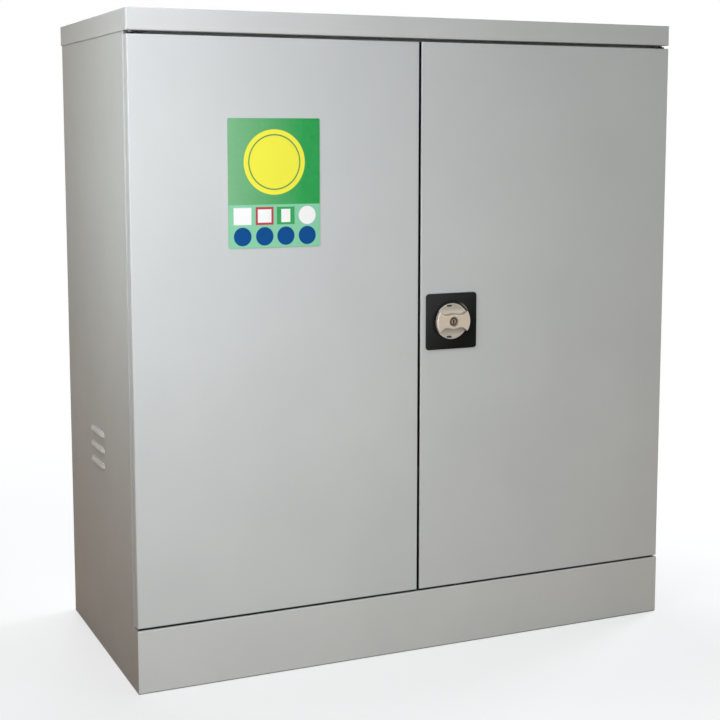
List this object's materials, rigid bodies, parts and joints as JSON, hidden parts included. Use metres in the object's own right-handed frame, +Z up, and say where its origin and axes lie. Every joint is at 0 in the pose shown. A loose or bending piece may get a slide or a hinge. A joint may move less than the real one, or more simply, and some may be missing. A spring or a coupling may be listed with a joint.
{
  "type": "safety storage cabinet",
  "caption": "Low steel safety storage cabinet: two pivot-hung doors, a turning knob that drives two locking rods, vented sides, two shelf trays and a sump tray.",
  "frame": {"origin": "middle of the footprint, on the floor", "axes": "+Z up, front with the doors faces -Y, +X to the right as seen from the front"},
  "size_m": [0.9244, 0.431, 1],
  "materials": {
    "paint": "light grey powder coat, semi-gloss, fine orange peel",
    "zinc_plate": "bright zinc plate, slightly mottled",
    "steel": "turned and ground steel",
    "black_plastic": "black moulded plastic, fine grain",
    "rubber": "matt black rubber",
    "knob_metal": "satin die-cast metal, warm tint",
    "brass": "dull brass, turned face",
    "sign_face": "plain green plate, blank coloured fields, no words"
  },
  "bodies": {
    "carcass": {"top_lid": "paint", "back_panel": "paint", "top_rail": "paint", "floor_panel": "paint", "plinth_front": "paint", "left_side_panel": "paint", "right_side_panel": "paint", "sump_tray": "paint", "lower_shelf_tray": "paint", "upper_shelf_tray": "paint", "front_left_upright": "zinc_plate", "rear_left_upright": "zinc_plate", "front_right_upright": "zinc_plate", "rear_right_upright": "zinc_plate", "lower_clip_front_left": "zinc_plate", "lower_clip_front_right": "zinc_plate", "lower_clip_rear_left": "zinc_plate", "lower_clip_rear_right": "zinc_plate", "upper_clip_front_left": "zinc_plate", "upper_clip_front_right": "zinc_plate", "upper_clip_rear_left": "zinc_plate", "upper_clip_rear_right": "zinc_plate", "upper_left_hinge_plate": "steel", "upper_left_hinge_pin": "steel", "upper_right_hinge_plate": "steel", "upper_right_hinge_pin": "steel", "lower_left_hinge_plate": "steel", "lower_left_hinge_pin": "steel", "lower_right_hinge_plate": "steel", "lower_right_hinge_pin": "steel", "upper_left_door_buffer": "rubber", "upper_right_door_buffer": "rubber", "lower_left_door_buffer": "rubber", "lower_right_door_buffer": "rubber"},
    "left_door": {"left_door_panel": "paint", "left_door_stiffener": "paint", "upper_left_door_bush": "black_plastic", "lower_left_door_bush": "black_plastic", "sign_plate": "sign_face"},
    "right_door": {"right_door_panel": "paint", "right_door_stiffener": "paint", "upper_right_door_bush": "black_plastic", "lower_right_door_bush": "black_plastic", "handle_plate": "black_plastic", "lock_case": "zinc_plate", "lock_cover": "zinc_plate", "lock_screw_lower_left": "steel", "lock_screw_lower_right": "steel", "lock_screw_upper_left": "steel", "lock_screw_upper_right": "steel", "upper_rod_guide": "black_plastic", "lower_rod_guide": "black_plastic"},
    "knob": {"handle_knob": "knob_metal", "knob_spindle": "steel", "drive_pinion": "steel", "latch_tongue": "zinc_plate", "tongue_screw": "steel"},
    "lock_plug": {"lock_plug": "brass"},
    "upper_rod": {"upper_rod": "zinc_plate"},
    "lower_rod": {"lower_rod": "zinc_plate"}
  },
  "joints": [
    {"name": "left_door_hinge", "type": "hinge", "parent": "carcass", "child": "left_door", "pos_m": [-0.4507, -0.1925, 0.53], "axis": [0, 0, -1], "range_deg": [0, 110]},
    {"name": "right_door_hinge", "type": "hinge", "parent": "carcass", "child": "right_door", "pos_m": [0.4507, -0.1925, 0.53], "axis": [0, 0, 1], "range_deg": [0, 110]},
    {"name": "knob_turn", "type": "hinge", "parent": "right_door", "child": "knob", "pos_m": [0.0553, -0.2045, 0.53], "axis": [0, 1, 0], "range_deg": [0, 90]},
    {"name": "upper_rod_slide", "type": "slide", "parent": "right_door", "child": "upper_rod", "axis": [0, 0, 1], "range_m": [0, 0.0189]},
    {"name": "lower_rod_slide", "type": "slide", "parent": "right_door", "child": "lower_rod", "axis": [0, 0, -1], "range_m": [0, 0.0189]},
    {"name": "key_turn", "type": "hinge", "parent": "knob", "child": "lock_plug", "pos_m": [0.0553, -0.2045, 0.53], "axis": [0, 1, 0], "range_deg": [0, 90]}
  ],
  "couplings": [
    {"joint": "upper_rod_slide", "follows": "knob_turn", "m_per_rad": 0.012},
    {"joint": "lower_rod_slide", "follows": "knob_turn", "m_per_rad": 0.012}
  ]
}
